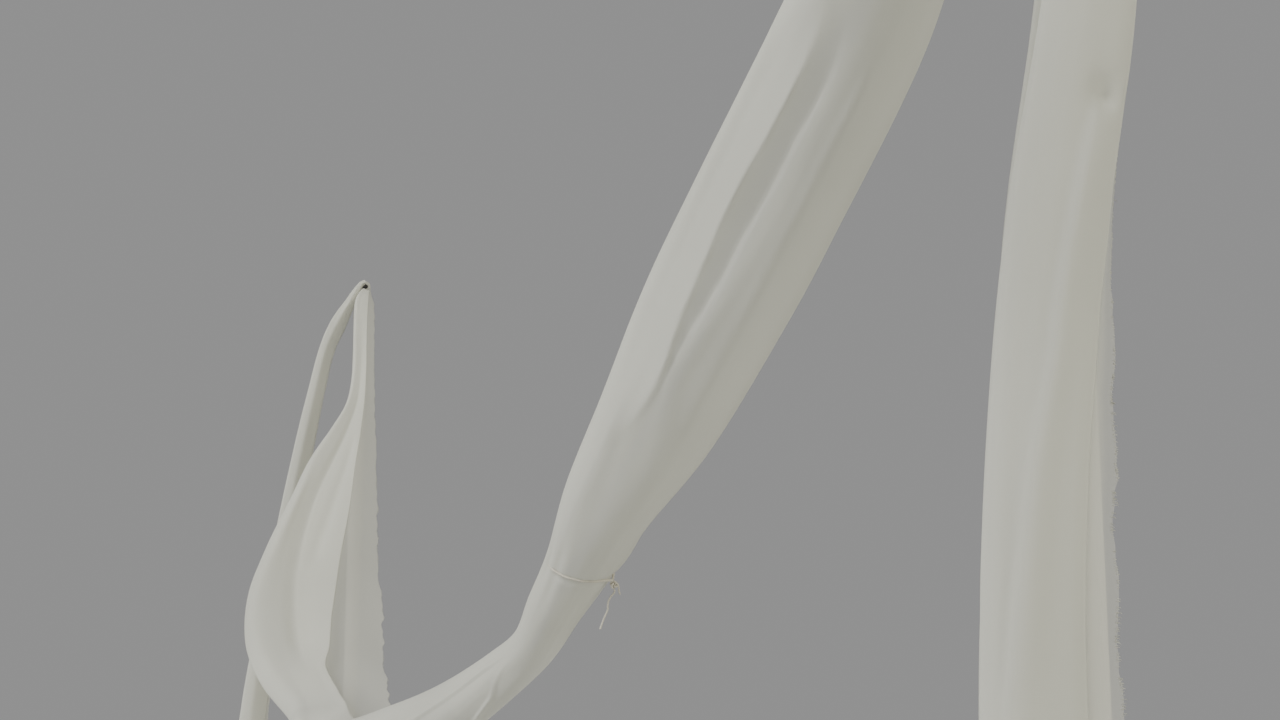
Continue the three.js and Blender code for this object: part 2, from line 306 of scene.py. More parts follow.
def stacked(edge, layers=5, round_out=1.0, inset=0.28):
    """Folds lying on each other: the front one bulges to a ridge and ends at `edge` on the right, and the
    last runs on to 1. `inset` draws in the folds between, and `round_out` flattens the front one."""
    ridge = 0.45
    shares = (0, 0.06, 0.5 * ridge, ridge, 0.5 + 0.5 * ridge, 0.90, 1)
    face_across = [-1 + (edge + 1) * share for share in shares]
    lower = 0.35 * round_out
    face_away = (-0.50 + lower, -0.78 + 0.7 * lower, -0.90 + 0.2 * lower, -1.0, -0.92 + 0.5 * lower,
                 -0.84 + lower, -0.60 + lower)
    points = list(zip(face_across, face_away))
    step = 1.35 / (layers - 1)
    for layer in range(1, layers):
        level = -0.55 + step * layer
        left, right = -0.92 + 0.07 * (layer % 3), edge - inset - 0.09 * (layer % 2)
        start, end = (right, left) if layer % 2 else (left, right)
        points.append((start, level - 0.3 * step))
        if layer == layers - 1:
            points += [(edge - 0.22, 0.40), (edge - 0.03, lower - 0.58), (1.0, 0.06)]
        else:
            points += [((start + end) / 2, level), (end, level + 0.3 * step)]
    return points


def stations_from(start, rows):
    """Stations from rows whose first three numbers are offsets from `start`."""
    return [(*(a + b for a, b in zip(start, row)), *row[3:]) for row in rows]


def over_rod(y, step, drop=0.005):
    """The first two stations of a run that starts over a hanger rod and goes off by `step` to one side."""
    return [(HALF, y, HOOK_TOP, HOOK_THICK, HOOK_WIDTH, 0),
            (HALF + step, y, HOOK_TOP - drop, HOOK_THICK, HOOK_WIDTH, 0)]


# Outlines of the swag: from the near flap round the left side and the outer face, and rolled in at the end.
# SOFT is the plain gathered bunch, and TROUGH the open fold where the swag hangs lowest.
ROLL_END = [(0.10, 0.28), (0.16, -0.22), (0.38, -0.54), (0.68, -0.38), (0.76, 0.05)]
SOFT = [(-0.10, 0.70), (-0.50, 0.80), (-0.84, 0.52), (-1.0, 0.02), (-0.91, -0.44), (-0.74, -0.70),
        (-0.60, -0.80), (-0.48, -0.85), (-0.36, -0.89), (-0.22, -0.93), (-0.06, -0.97), (0.08, -0.99),
        (0.24, -0.98), (0.50, -0.88), (0.82, -0.58), (1.0, 0.0), (0.86, 0.52), (0.52, 0.80),
        (0.15, 0.66), *ROLL_END]
TROUGH = [(0.30, 0.45), (-0.05, 0.72), (-0.42, 0.78), (-0.76, 0.62), (-0.98, 0.20), (-0.96, -0.22),
          (-0.82, -0.56), (-0.62, -0.74), (-0.42, -0.84), (-0.22, -0.92), (-0.02, -0.97), (0.18, -0.97),
          (0.36, -0.92), (0.54, -0.80), (0.72, -0.60), (0.88, -0.34), (0.98, -0.02), (0.92, 0.34),
          (0.66, 0.54), (0.40, 0.30), (0.02, 0.34), (-0.42, 0.30), (-0.60, -0.02), (-0.40, -0.34)]


def banded(left, right, sunk=0.07):
    """The outline with a band sunk between `left` and `right` on the outer face, and a soft lip beside it."""
    level = sunk - math.sqrt(1 - left * left)
    start, end = np.array([-0.96, -0.22]), np.array([left - 0.035, level])
    side = [tuple(start + share * (end - start)) for share in (0, 0.35, 0.7, 1)]
    band = [(left, level + 0.008), (right, level + 0.004), (right + 0.04, level - 0.7 * sunk),
            (right + 0.16, level - 1.6 * sunk), (right + 0.32, -0.97)]
    return [(-0.25, 0.58), (-0.56, 0.75), (-0.84, 0.55), (-1.0, 0.10), *side, *band,
            (0.42, -0.97), (0.81, -0.59), (1.0, 0.04), (0.84, 0.58), (0.48, 0.80), (0.14, 0.64), *ROLL_END]


def rounded(outline):
    """The outline drawn in to a round bunch, with its end still rolled inside."""
    turn = len(outline) - len(ROLL_END)
    return [tuple(unit(np.array(point))) for point in outline[:turn]] + outline[turn:]


TIED = rounded(SOFT)


def pouch(edge, ridge, rise=1.0, sink=1.0):
    """The opened pouch: a near flap that rises from the left fold to its edge, and a far panel close behind
    it that falls away to the right. `sink` deepens the soft valley along `ridge`."""
    top = 0.62 + 0.42 * rise

    def near_point(x, sunk):
        return x, 0.62 + (top - 0.62) * (x + 0.84) / (edge + 0.84) - sunk * sink

    near = [(edge - 0.04, top - 0.10), (edge, top), (edge - 0.05, top), near_point((edge + ridge) / 2, 0.10),
            near_point(ridge + 0.05, 0.30), near_point(ridge - 0.05, 0.36), near_point(ridge - 0.26, 0.10),
            (-0.84, 0.66 + 0.06 * sink), (-0.98, 0.30), (-0.97, -0.10)]
    hidden = [(-0.55, -0.44), (-0.12, -0.54), (-0.04, -0.44), (-0.15, -0.34), (-0.44, -0.20), (-0.38, 0.04),
              (edge - 0.34, top - 0.54), (edge - 0.12, top - 0.24)]
    far = zip(np.linspace(edge - 0.02, 1.0, 6), np.linspace(top - 0.19 * rise - 0.03, -0.62, 6))
    return [*near, *hidden, *far]


def side_swag():
    front = -HALF - HANGER_FORWARD
    back = HALF - HANGER_FORWARD
    stations = [*over_rod(front, -0.009), (HALF - 0.014, front + 0.002, SCARF_TOP - 0.016, 0.014, 0.036, 0)]
    stations += stations_from((HALF, 0, SCARF_TOP), [
        (-0.030, -1.557, -0.039, 0.024, 0.038, 0),
        (-0.048, -1.511, -0.091, 0.044, 0.050, -10),
        (-0.056, -1.425, -0.205, 0.094, 0.084, -20),
        (-0.073, -1.330, -0.342, 0.131, 0.118, -24),
        (-0.102, -1.170, -0.489, 0.142, 0.138, -24),
        (-0.121, -1.080, -0.572, 0.141, 0.136, -24),
        (-0.1405, -0.980, -0.665, 0.126, 0.122, -24),
        (-0.1625, -0.895, -0.739, 0.101, 0.098, -24),
        (-0.1725, -0.820, -0.802, 0.075, 0.072, -24),
        (-0.184, -0.765, -0.847, 0.063, 0.068, -22),
        (-0.191, -0.680, -0.896, 0.054, 0.064, -20),
        (-0.206, -0.500, -0.948, 0.064, 0.076, -15),
        (-0.215, -0.250, -0.994, 0.092, 0.094, -8),
        (-0.209, 0.050, -1.028, 0.144, 0.114, 0),
        (-0.199, 0.400, -1.041, 0.188, 0.108, 4),
        (-0.160, 0.700, -0.997, 0.195, 0.098, 8),
        (-0.170, 0.870, -0.924, 0.250, 0.086, 4),
        (-0.1715, 0.980, -0.854, 0.277, 0.078, 3),
        (-0.1560, 1.070, -0.770, 0.278, 0.072, 3),
        (-0.1355, 1.140, -0.683, 0.242, 0.068, 3),
        (-0.1035, 1.210, -0.569, 0.195, 0.064, 5),
        (-0.0785, 1.260, -0.475, 0.155, 0.060, 9),
        (-0.0490, 1.300, -0.391, 0.105, 0.056, 9),
        (-0.028, 1.335, -0.316, 0.064, 0.050, 9),
        (-0.0165, 1.375, -0.232, 0.050, 0.044, 9),
        (-0.0095, 1.420, -0.140, 0.049, 0.040, 9),
        (-0.0015, 1.462, -0.048, 0.046, 0.036, 5),
    ])
    stations += [(HALF + 0.0105, back, HOOK_TOP - 0.013, 0.015, HOOK_WIDTH, 0),
                 *reversed(over_rod(back, 0.007, drop=0.004))]
    bands = [(0.123, -0.42, -0.11), (0.135, -0.44, -0.15), (0.150, -0.48, -0.15), (0.163, -0.48, -0.19),
             (0.177, -0.43, -0.19), (0.191, -0.38, -0.24, 0.06), (0.207, -0.31, -0.25, 0.03)]
    pouches = [(0.62, 0.05, -0.4, 1, 0), (0.66, -0.05, -0.4, 1, 0), (0.70, -0.06, -0.34, 1, 0),
               (0.72, 0.117, -0.29, 1, 0.5), (0.74, 0.212, -0.255), (0.76, 0.253, -0.275),
               (0.80, 0.307, -0.37), (0.84, 0.361, -0.425), (0.87, 0.385, -0.27, 0.8),
               (0.90, 0.30, -0.23, 0.35, 0.6), (0.93, 0.25, -0.2, 0.15, 0.2), (1, 0.3, -0.2, 0.1, 0)]
    sections = [(0, TIED), (0.05, TIED), (0.105, SOFT), *((share, banded(*band)) for share, *band in bands),
                (0.227, SOFT), (0.237, SOFT), (0.257, SOFT), (0.276, TIED), (0.302, TIED),
                (0.34, TROUGH), (0.55, TROUGH), *((share, pouch(*form)) for share, *form in pouches)]
    cloth = Gathered(stations, sections, 480, 160, dense=(TIE_SHARE, 0.018, 4))
    cloth.gather(0.0, 0.06, 18, 0.0030, seed=3)
    cloth.gather(0.28, 0.012, 20, 0.0005, seed=5)
    cloth.ripple(0.0006, 9, 5, seed=4)
    # Soft lengthways folds above the tie
    cloth.fold([(0.06, 0.22), (0.119, 0.184), (0.161, 0.20), (0.20, 0.22)], 0.0016, 0.022, right=1.6)
    cloth.fold([(0.188, 0.256), (0.207, 0.277), (0.226, 0.300), (0.247, 0.327), (0.266, 0.345)],
               -0.0017, 0.022)
    cloth.fold([(0.198, 0.350), (0.224, 0.384), (0.235, 0.412), (0.247, 0.446), (0.264, 0.486)],
               0.0036, 0.030, right=0.7)
    # The cord presses in, and cloth puffs out beside it
    cloth.tie_in(0.0018, 0.0014)
    cloth.dent(0.270, 0.53, 0.0030, 0.006, 0.06)
    cloth.dent(0.274, 0.20, 0.0012, 0.012, 0.06)
    # Folds that fan out from the bend below the tie
    cloth.fold([(0.318, 0.285), (0.350, 0.278), (0.46, 0.290)], 0.0030, 0.012, right=1.4, fade=0.03)
    cloth.fold([(0.318, 0.310), (0.333, 0.363), (0.343, 0.419), (0.40, 0.50)],
               0.0028, 0.012, left=1.4, fade=0.03)
    # A shallow hollow beside the edge of the pouch
    cloth.fold([(0.785, 0.110), (0.812, 0.112), (0.84, 0.098), (0.868, 0.070), (0.895, 0.066)],
               -0.0042, 0.028, fade=0.025)
    return cloth


def front_drop():
    front = -HALF - HANGER_FORWARD
    stations = over_rod(front, 0.009) + stations_from((HALF, front, 0), [
        (0.0125, 0, HANGER_Z, 0.014, HOOK_WIDTH, 0),
        (0.016, -0.002, 2.395, 0.018, 0.034, 0),
        (0.018, -0.006, 2.310, 0.044, 0.040, -8),
        (0.010, -0.008, 2.180, 0.062, 0.046, -16),
        (-0.007, -0.008, 2.017, 0.070, 0.050, -22),
        (-0.037, -0.008, 1.854, 0.076, 0.052, -30),
        (-0.050, -0.008, 1.720, 0.088, 0.052, -32),
        (-0.061, -0.008, 1.537, 0.097, 0.052, -25),
        (-0.061, -0.010, 1.300, 0.108, 0.054, -21),
        (-0.050, -0.016, 0.900, 0.124, 0.056, -18),
        (-0.034, -0.022, 0.500, 0.138, 0.056, -16),
        (-0.032, -0.026, 0.072, 0.146, 0.056, -14),
    ])
    edges = [(0, 0.95), (0.20, 1.0), (0.26, 0.90), (0.285, 0.75), (0.33, 0.58), (0.41, 0.47), (0.7, 0.6),
             (1, 0.7)]
    sections = [(share, stacked(edge, round_out=0.35)) for share, edge in edges]
    cloth = Gathered(stations, sections, 240, 170)
    cloth.gather(0.02, 0.08, 15, 0.0015, seed=11)
    cloth.ripple(0.0012, 4, 5, seed=12)
    # A sharp ridge from a dimple near the top, with a fainter fold and a pinch beside it
    ridge = [(0.20, 0.163), (0.24, 0.149), (0.266, 0.139), (0.301, 0.130), (0.332, 0.107), (0.363, 0.091),
             (0.405, 0.063), (0.6, 0.045)]
    cloth.fold(ridge, 0.0062, 0.028, left=2.2, right=0.75)
    cloth.fold([(0.14, 0.07), (0.26, 0.06), (0.5, 0.03)], 0.0012, 0.014)
    cloth.dent(0.214, 0.168, -0.0100, 0.0046, 0.028)
    cloth.dent(0.266, 0.146, -0.0022, 0.0016, 0.014)
    return cloth


def back_tail():
    back = HALF - HANGER_FORWARD
    stations = [*over_rod(back, -0.009), (HALF - 0.028, back + 0.004, 2.392, 0.022, 0.034, 0)]
    stations += stations_from((HALF, HALF, 0), [
        (-0.055, -0.016, 2.336, 0.038, 0.034, -4),
        (-0.078, 0.012, 2.270, 0.036, 0.034, -9),
        (-0.098, 0.036, 2.159, 0.040, 0.038, -9),
        (-0.116, 0.052, 2.050, 0.046, 0.042, -9),
        (-0.140, 0.064, 1.900, 0.050, 0.046, -9),
        (-0.178, 0.075, 1.660, 0.054, 0.046, -9),
        (-0.208, 0.082, 1.420, 0.062, 0.046, -9),
        (-0.222, 0.084, 1.150, 0.074, 0.044, -9),
        (-0.226, 0.084, 0.822, 0.084, 0.040, -9),
    ])
    edges = [(0, 0.95), (0.5, 0.92), (1, 0.84)]
    sections = [(share, stacked(edge, layers=7, inset=0.05)) for share, edge in edges]
    cloth = Gathered(stations, sections, 170, 160)
    cloth.gather(0.02, 0.08, 15, 0.0012, seed=21)
    cloth.ripple(0.0012, 4, 5, seed=22)
    return cloth


def front_valance():
    right = over_rod(VALANCE_Y, -0.009, drop=0.0055)
    for share in (0.965, 0.9, 0.78, 0.6, 0.36, 0.12):
        puff = VALANCE_PUFF * math.sqrt(1 - share * share)
        z = SCARF_TOP - VALANCE_SAG * (1 - share * share)
        right.append((share * HALF, VALANCE_Y, z, 0.009 + puff, 0.036 + 0.7 * puff, 0))
    left = [(-x, *rest) for x, *rest in reversed(right)]
    sections = [(0, TIED), (0.06, TIED), (0.2, SOFT), (0.5, TROUGH), (0.8, SOFT), (0.94, TIED), (1, TIED)]
    cloth = Gathered(right + left, sections, 280, 120, settles=False)
    cloth.gather(0.0, 0.10, 12, 0.004, seed=31)
    cloth.gather(1.0, 0.10, 12, 0.004, seed=32)
    cloth.ripple(0.002, 6, 5, seed=33)
    return cloth


# Meshes
def mesh_object(name, points, faces, material):
    mesh = bpy.data.meshes.new(name)
    mesh.from_pydata(np.asarray(points, float).tolist(), [], [list(map(int, face)) for face in faces])
    mesh.shade_smooth()
    mesh.materials.append(material)
    piece = bpy.data.objects.new(name, mesh)
    bpy.context.collection.objects.link(piece)
    return piece


def grid_faces(rows, columns, rings=False, closed=False):
    """Four-sided faces over a grid of points. With `rings` each row closes, and with `closed` the last row
    joins the first."""
    index = np.arange(rows * columns).reshape(rows, columns)
    if rings:
        index = np.concatenate([index, index[:, :1]], axis=1)
    if closed:
        index = np.concatenate([index, index[:1]])
    corners = [index[:-1, :-1], index[:-1, 1:], index[1:, 1:], index[1:, :-1]]
    return np.stack(corners, axis=-1).reshape(-1, 4)


def end_fans(rows, sides):
    """Faces that close a tube's ends, to the two points that follow its own."""
    last, middle = (rows - 1) * sides, rows * sides
    return ([(middle, (k + 1) % sides, k) for k in range(sides)]
            + [(middle + 1, last + k, last + (k + 1) % sides) for k in range(sides)])


def merged(*shells):
    """Several (points, faces) shells as one."""
    points, faces = [], []
    for shell_points, shell_faces in shells:
        start = len(points)
        points += [tuple(point) for point in shell_points]
        faces += [tuple(start + int(k) for k in face) for face in shell_faces]
    return points, faces


def finished(name, node, points, faces, material, crease=None):
    """A piece that stands for one CAD node."""
    piece = mesh_object(name, points, faces, material)
    if crease:
        piece.data.set_sharp_from_angle(angle=math.radians(crease))
    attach(piece, "root")
    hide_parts(node)
    return piece


def softened(profile, radius, steps=3):
    """The profile with each inner corner rounded."""
    profile = np.array(profile, float)
    soft = [profile[0]]
    for before, corner, after in zip(profile, profile[1:], profile[2:]):
        back, ahead = before - corner, after - corner
        room = min(radius, 0.45 * np.linalg.norm(back), 0.45 * np.linalg.norm(ahead))
        start, end = corner + room * unit(back), corner + room * unit(ahead)
        for f in np.linspace(0, 1, steps + 1):
            soft.append((1 - f) ** 2 * start + 2 * f * (1 - f) * corner + f * f * end)
    return [*soft, profile[-1]]


def turned(profile, sides=64, closed=False, lobes=None):
    """A (radius, z) profile turned round the Z axis. A profile from axis to axis is capped there; a closed
    one joins its ends. `lobes` gives a factor on the radius, by radius and angle."""
    profile = np.array(profile, float)
    ring_rows = profile if closed else profile[1:-1]
    angle = np.linspace(0, 2 * math.pi, sides, endpoint=False)
    radius = np.repeat(ring_rows[:, :1], sides, 1)
    if lobes:
        radius = radius * lobes(radius, angle[None, :])
    z = np.repeat(ring_rows[:, 1:], sides, 1)
    points = np.stack([radius * np.cos(angle), radius * np.sin(angle), z], axis=-1).reshape(-1, 3).tolist()
    faces = grid_faces(len(ring_rows), sides, rings=True, closed=closed).tolist()
    if not closed:
        points += [(0, 0, profile[0, 1]), (0, 0, profile[-1, 1])]
        faces += end_fans(len(ring_rows), sides)
    return points, faces


# Points turned so that what lay along Z lies along X or Y
def along_x(points):
    return [(z, y, -x) for x, y, z in points]


def along_y(points):
    return [(x, z, -y) for x, y, z in points]


def swept(path, radius, ply, twist, closed=False):
    """A twisted cord along `path`. `ply` deepens its two grooves, and `twist` is its turns a metre."""
    path = np.array(path, float)
    sides = 12
    if closed:
        runs = unit(np.roll(path, -1, axis=0) - np.roll(path, 1, axis=0))
    else:
        runs = unit(np.gradient(path, axis=0))
    side = unit(np.cross(runs[0], [0.3, 0.2, 0.9]))
    angle = np.linspace(0, 2 * math.pi, sides, endpoint=False)
    rings = []
    for centre, run, distance in zip(path, runs, run_along(path)):
        side = unit(side - side.dot(run) * run)
        other = np.cross(run, side)
        lobe = 1 - ply * (0.5 - 0.5 * np.cos(2 * (angle - 2 * math.pi * twist * distance)))
        ring = radius * lobe[:, None] * (np.cos(angle)[:, None] * side + np.sin(angle)[:, None] * other)
        rings.append(centre + ring)
    points = [tuple(point) for ring in rings for point in ring]
    faces = grid_faces(len(rings), sides, rings=True, closed=closed).tolist()
    if not closed:
        points += [tuple(path[0] - 0.4 * radius * runs[0]), tuple(path[-1] + 0.4 * radius * runs[-1])]
        faces += end_fans(len(rings), sides)
    return points, faces


def sheet_object(name, points, shares, length, material):
    """The sheet as a mesh, with its place on the flat cloth in metres as its UVs."""
    rows, columns = points.shape[:2]
    faces = grid_faces(rows, columns)
    piece = mesh_object(name, points.reshape(-1, 3), faces, material)
    uv = piece.data.uv_layers.new(name="cloth")
    v, u = np.divmod(faces.reshape(-1), columns)
    spread = np.stack([u / (columns - 1) * SCARF_CUT_WIDTH, shares[v] * length], axis=-1)
    uv.data.foreach_set("uv", spread.astype(np.float32).ravel())
    return piece


def threads(edge, outward, seed):
    """Loose threads along a raw edge: thin three-sided spikes in uneven tufts."""
    rng = np.random.default_rng(seed)
    run = run_along(edge)
    count = int(run[-1] / THREAD_SPACING)
    where = np.sort(rng.uniform(0, run[-1], count))
    tuft = 0.5 + 0.5 * np.sin(where * 61 + 2 * np.sin(where * 23))
    along = np.stack([np.interp(where, run, edge[:, k]) for k in range(3)], axis=1)
    out = unit(np.stack([np.interp(where, run, outward[:, k]) for k in range(3)], axis=1))
    length = THREAD_LENGTH * (0.25 + 0.75 * tuft) * rng.uniform(0.4, 1.0, count)
    lean = out + rng.normal(0, 0.35, (count, 3))
    down = np.array([0, 0, -1.0])
    middle = along + unit(lean) * (0.55 * length)[:, None]
    tip = middle + unit(lean + 1.3 * down) * (0.45 * length)[:, None]
    root = along - out * THREAD_ROOT
    side = unit(np.cross(out, rng.normal(0, 1, (count, 3))))
    other = unit(np.cross(out, side))
    thick = rng.uniform(*THREAD_RADII, count)
    points, faces = [], []
    for n in range(count):
        ring = [thick[n] * (math.cos(a) * side[n] + math.sin(a) * other[n]) for a in (0, 2.09, 4.19)]
        low = len(points)
        high, end = low + 3, low + 6
        points += [root[n] + r for r in ring] + [middle[n] + 0.7 * r for r in ring] + [tip[n]]
        for k in range(3):
            j = (k + 1) % 3
            faces += [(low + k, low + j, high + j), (low + k, high + j, high + k), (high + k, high + j, end)]
        faces.append((low + 2, low + 1, low))
    return np.array(points), faces


def both_sides(name, cloth, points, material, hem=False):
    """The sheet and its loose threads on the right, and the same mirrored on the left."""
    edges = [(points[:, -1], points[:, -1] - points[:, -4])]
    if hem:
        edges.append((points[-1], points[-1] - points[-3]))
    frays = [threads(edge, unit(out), seed=40 + n) for n, (edge, out) in enumerate(edges)]
    for side, sign in SIDES:
        mirror = np.array([sign, 1, 1])
        sheet = (points * mirror)[:, ::sign]
        piece = sheet_object(f"{side}_{name}_cloth", sheet, cloth.s, cloth.length, material)
        tufts = merged(*((spikes * mirror, [face[::sign] for face in faces]) for spikes, faces in frays))
        fray = mesh_object(f"{side}_{name}_threads", *tufts, material)
        for part in (piece, fray):
            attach(part, "root")
        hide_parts(f"{side}_{name}")


def valance_cloth(material):
    cloth = front_valance()
    piece = sheet_object("front_valance_cloth", cloth.points(), cloth.s, cloth.length, material)
    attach(piece, "root")
    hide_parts("front_valance")


# Ties
def tie_ends(knot, material):
    """The cord's loose end, a free cord that hangs from the knot."""
    marks = [(0.0005, 0, -0.0050), (0.0003, -0.0001, -0.0085), (-0.0035, 0.0012, -0.0135),
             (-0.0059, 0.0020, -0.0190), (-0.0063, 0.0020, -0.0232), (-0.0066, 0.0022, -0.0275),
             (-0.0102, 0.0034, -0.0365), (-0.0139, 0.0048, -0.0475)]
    route = through(knot + np.array(marks), np.linspace(0, len(marks) - 1, 120))
    for side, sign in SIDES:
        path = route * (sign, 1, 1)
        points, faces = swept(path, TIE_END_CORD / 2, ply=0.28, twist=240)
        piece = finished(f"{side}_tie_end_cord", f"{side}_tie_loose_end", points, faces, material)


def tie_band_path(swag):
    """A line hugging the swag's outer turn where the tie crosses it, smoothed along its length."""
    full_turn, smooth = 2 * math.pi, 8
    line = []
    for angle in KNOT_ANGLE + np.linspace(0, full_turn, 420, endpoint=False):
        buried = BAND_SUNK * sum(bell((angle - at) / reach) for at, reach in SUNK_PLACES)
        from_knot = angle - KNOT_ANGLE
        pulled = BAND_PULLED * (bell(from_knot / PULL_REACH) + bell((from_knot - full_turn) / PULL_REACH))
        line.append(swag.around(tie_share(angle), angle, 0.3 * TIE_CORD - buried + pulled))
    return np.array([np.roll(line, k, axis=0) for k in range(-smooth, smooth + 1)]).mean(axis=0)


def knot_path(centre):
    """A small overhand knot, as a closed line."""
    a = np.linspace(0, 2 * math.pi, 90, endpoint=False)
    wide = 2 + np.cos(3 * a)
    line = np.stack([wide * np.cos(2 * a), 1.4 * np.sin(3 * a), wide * np.sin(2 * a)], axis=1)
    return np.array(centre) + line * KNOT_SIZE / 8


def tie_bands(swag, knot, material):
    """The tie band, its knot and its short end, as one piece on each side."""
    short_end = knot + np.array([(0.001, -0.001, 0.003), (0.0034, -0.0015, 0.001), (0.0048, -0.002, -0.003),
                                 (0.0050, -0.002, -0.0065), (0.0062, -0.0024, -0.0105)])
    band = swept(tie_band_path(swag), TIE_CORD / 2, ply=0.28, twist=200, closed=True)
    lump = swept(knot_path(knot), 0.42 * TIE_CORD, ply=0.2, twist=200, closed=True)
    end = swept(through(short_end, np.linspace(0, 4, 50)), TIE_END_CORD / 2, ply=0.28, twist=240)
    points, faces = merged(band, lump, end)
    for side, sign in SIDES:
        placed = np.array(points) * (sign, 1, 1)
        turned_faces = [face[::sign] for face in faces]
        finished(f"{side}_tie_cord", f"{side}_tie_band", placed, turned_faces, material)


# Poles and their fittings, each drawn round the pole's own axis
def base_plate():
    """A square plate with round corners and eased edges."""
    flat = BASE_SIDE / 2 - BASE_CORNER
    bevel = 0.0012
    corner_steps = 10
    corners = [(flat, flat, 0), (-flat, flat, 90), (-flat, -flat, 180), (flat, -flat, 270)]
    levels = [(0, bevel), (0.4 * bevel, 0.3 * bevel), (bevel, 0), (BASE_THICK - bevel, 0),
              (BASE_THICK - 0.4 * bevel, 0.3 * bevel), (BASE_THICK, bevel)]
    points = []
    for z, inset in levels:
        radius = BASE_CORNER - inset
        for x, y, start in corners:
            for angle in np.radians(np.linspace(start, start + 90, corner_steps)):
                points.append((x + radius * math.cos(angle), y + radius * math.sin(angle), z))
    ring = corner_steps * len(corners)
    faces = grid_faces(len(levels), ring, rings=True).tolist()
    faces += [tuple(range(ring))[::-1], tuple(range(len(points) - ring, len(points)))]
    return points, faces


def socket():
    """A tube standing on its rippled weld bead."""
    inner, outer = BORE_RADIUS, SOCKET_RADIUS
    foot = BASE_THICK + 0.0002
    ease = 0.0012
    ripples = 34
    profile = [(inner, foot), (outer + 0.0062, foot), (outer + 0.0050, foot + 0.0028),
               (outer + 0.0018, foot + 0.0052), (outer, foot + 0.0075), (outer, SOCKET_TOP - ease),
               (outer - ease, SOCKET_TOP), (inner + ease, SOCKET_TOP), (inner, SOCKET_TOP - ease)]
    wall = softened([*profile, profile[0]], ease)

    def bead(radius, angle):
        return 1 + 0.016 * np.sin(ripples * angle) * np.clip((radius - outer - 0.0004) / 0.004, 0, 1)

    return turned(wall[:-1], 4 * ripples, closed=True, lobes=bead)


def clamp_screw():
    """A threaded shank with a lobed knob, lying along X."""
    tip = BORE_RADIUS
    knob_start = tip + SCREW_LENGTH - KNOB_THICK
    knob_end = knob_start + KNOB_THICK
    pitch = 0.00125
    core = 0.84 * SCREW_RADIUS
    lobes = 8
    profile = [(0, tip), (0.8 * SCREW_RADIUS, tip)]
    for n in range(int((knob_start - tip - 0.002) / pitch)):
        at = tip + 0.0008 + n * pitch
        profile += [(core, at), (SCREW_RADIUS, at + 0.5 * pitch)]
    profile += [(core, knob_start - 0.001), (core, knob_start)]
    head = softened([(core, knob_start), (KNOB_RADIUS - 0.002, knob_start),
                     (KNOB_RADIUS, knob_start + 0.002), (KNOB_RADIUS, knob_end - 0.0025),
                     (KNOB_RADIUS - 0.003, knob_end), (0.0055, knob_end), (0.0045, knob_end - 0.0008),
                     (0, knob_end - 0.0008)], 0.001)

    def grip(radius, angle):
        hollow = (0.5 - 0.5 * np.cos(lobes * angle)) ** 1.5
        return 1 - 0.13 * hollow * np.clip((radius - 0.006) / 0.004, 0, 1)

    points, faces = turned(profile + head[1:], 64, lobes=grip)
    return [(x, y, z + SCREW_HEIGHT) for x, y, z in along_x(points)], faces


def pole(bottom, top):
    """A turned wooden pole with eased ends."""
    ease = 0.0018
    heights = np.linspace(bottom + 2 * ease, top - 2 * ease, 30)
    profile = [(0, bottom), (POLE_RADIUS - ease, bottom), (POLE_RADIUS - 0.3 * ease, bottom + 0.3 * ease),
               (POLE_RADIUS, bottom + ease), *[(POLE_RADIUS, z) for z in heights], (POLE_RADIUS, top - ease),
               (POLE_RADIUS - 0.3 * ease, top - 0.3 * ease), (POLE_RADIUS - ease, top), (0, top)]
    return turned(profile)


def ferrule():
    """A metal sleeve with rolled rims and two pressed grooves."""
    bottom, top = FERRULE
    inner, outer = BORE_RADIUS, FERRULE_RADIUS
    wall = outer - 0.0007
    profile = [(inner, bottom), (outer, bottom), (outer, bottom + 0.003), (wall, bottom + 0.0042)]
    for groove in (bottom + 0.018, top - 0.018):
        profile += [(wall, groove - 0.002), (outer - 0.0013, groove), (wall, groove + 0.002)]
    profile += [(wall, top - 0.0042), (outer, top - 0.003), (outer, top), (inner, top), (inner, bottom)]
    return turned(softened(profile, 0.0009)[:-1], closed=True)


def cap():
    """A domed cap over the top of the pole."""
    rim, top = CAP
    under = UPPER_POLE[1] + 0.0003
    wall = CAP_RADIUS - 0.0006
    profile = [(0, under), (BORE_RADIUS, under), (BORE_RADIUS, rim), (CAP_RADIUS, rim),
               (CAP_RADIUS, rim + 0.003), (wall, rim + 0.004), (wall, top - 0.0042),
               (CAP_RADIUS - 0.0042, top - 0.0010), (0.006, top), (0, top)]
    return turned(softened(profile, 0.0016))


def hanger():
    """A cross rod from front to back on a short stem, with a weld where they meet."""
    foot = CAP[1] + 0.0003
    stem = turned(softened([(0, foot), (ROD_RADIUS, foot), (ROD_RADIUS, HANGER_Z - 0.0072),
                            (ROD_RADIUS + 0.0016, HANGER_Z - 0.0036), (ROD_RADIUS - 0.0015, HANGER_Z),
                            (0, HANGER_Z)], 0.0006), 48)
    reach = HANGER_REACH
    profile = [(0, -reach), (ROD_RADIUS, -reach), (ROD_RADIUS, reach), (0, reach)]
    rod_points, rod_faces = turned(softened(profile, 0.0022, 5), 48)
    raised = [(x, y, z + HANGER_Z) for x, y, z in along_y(rod_points)]
    return merged(stem, (raised, rod_faces))


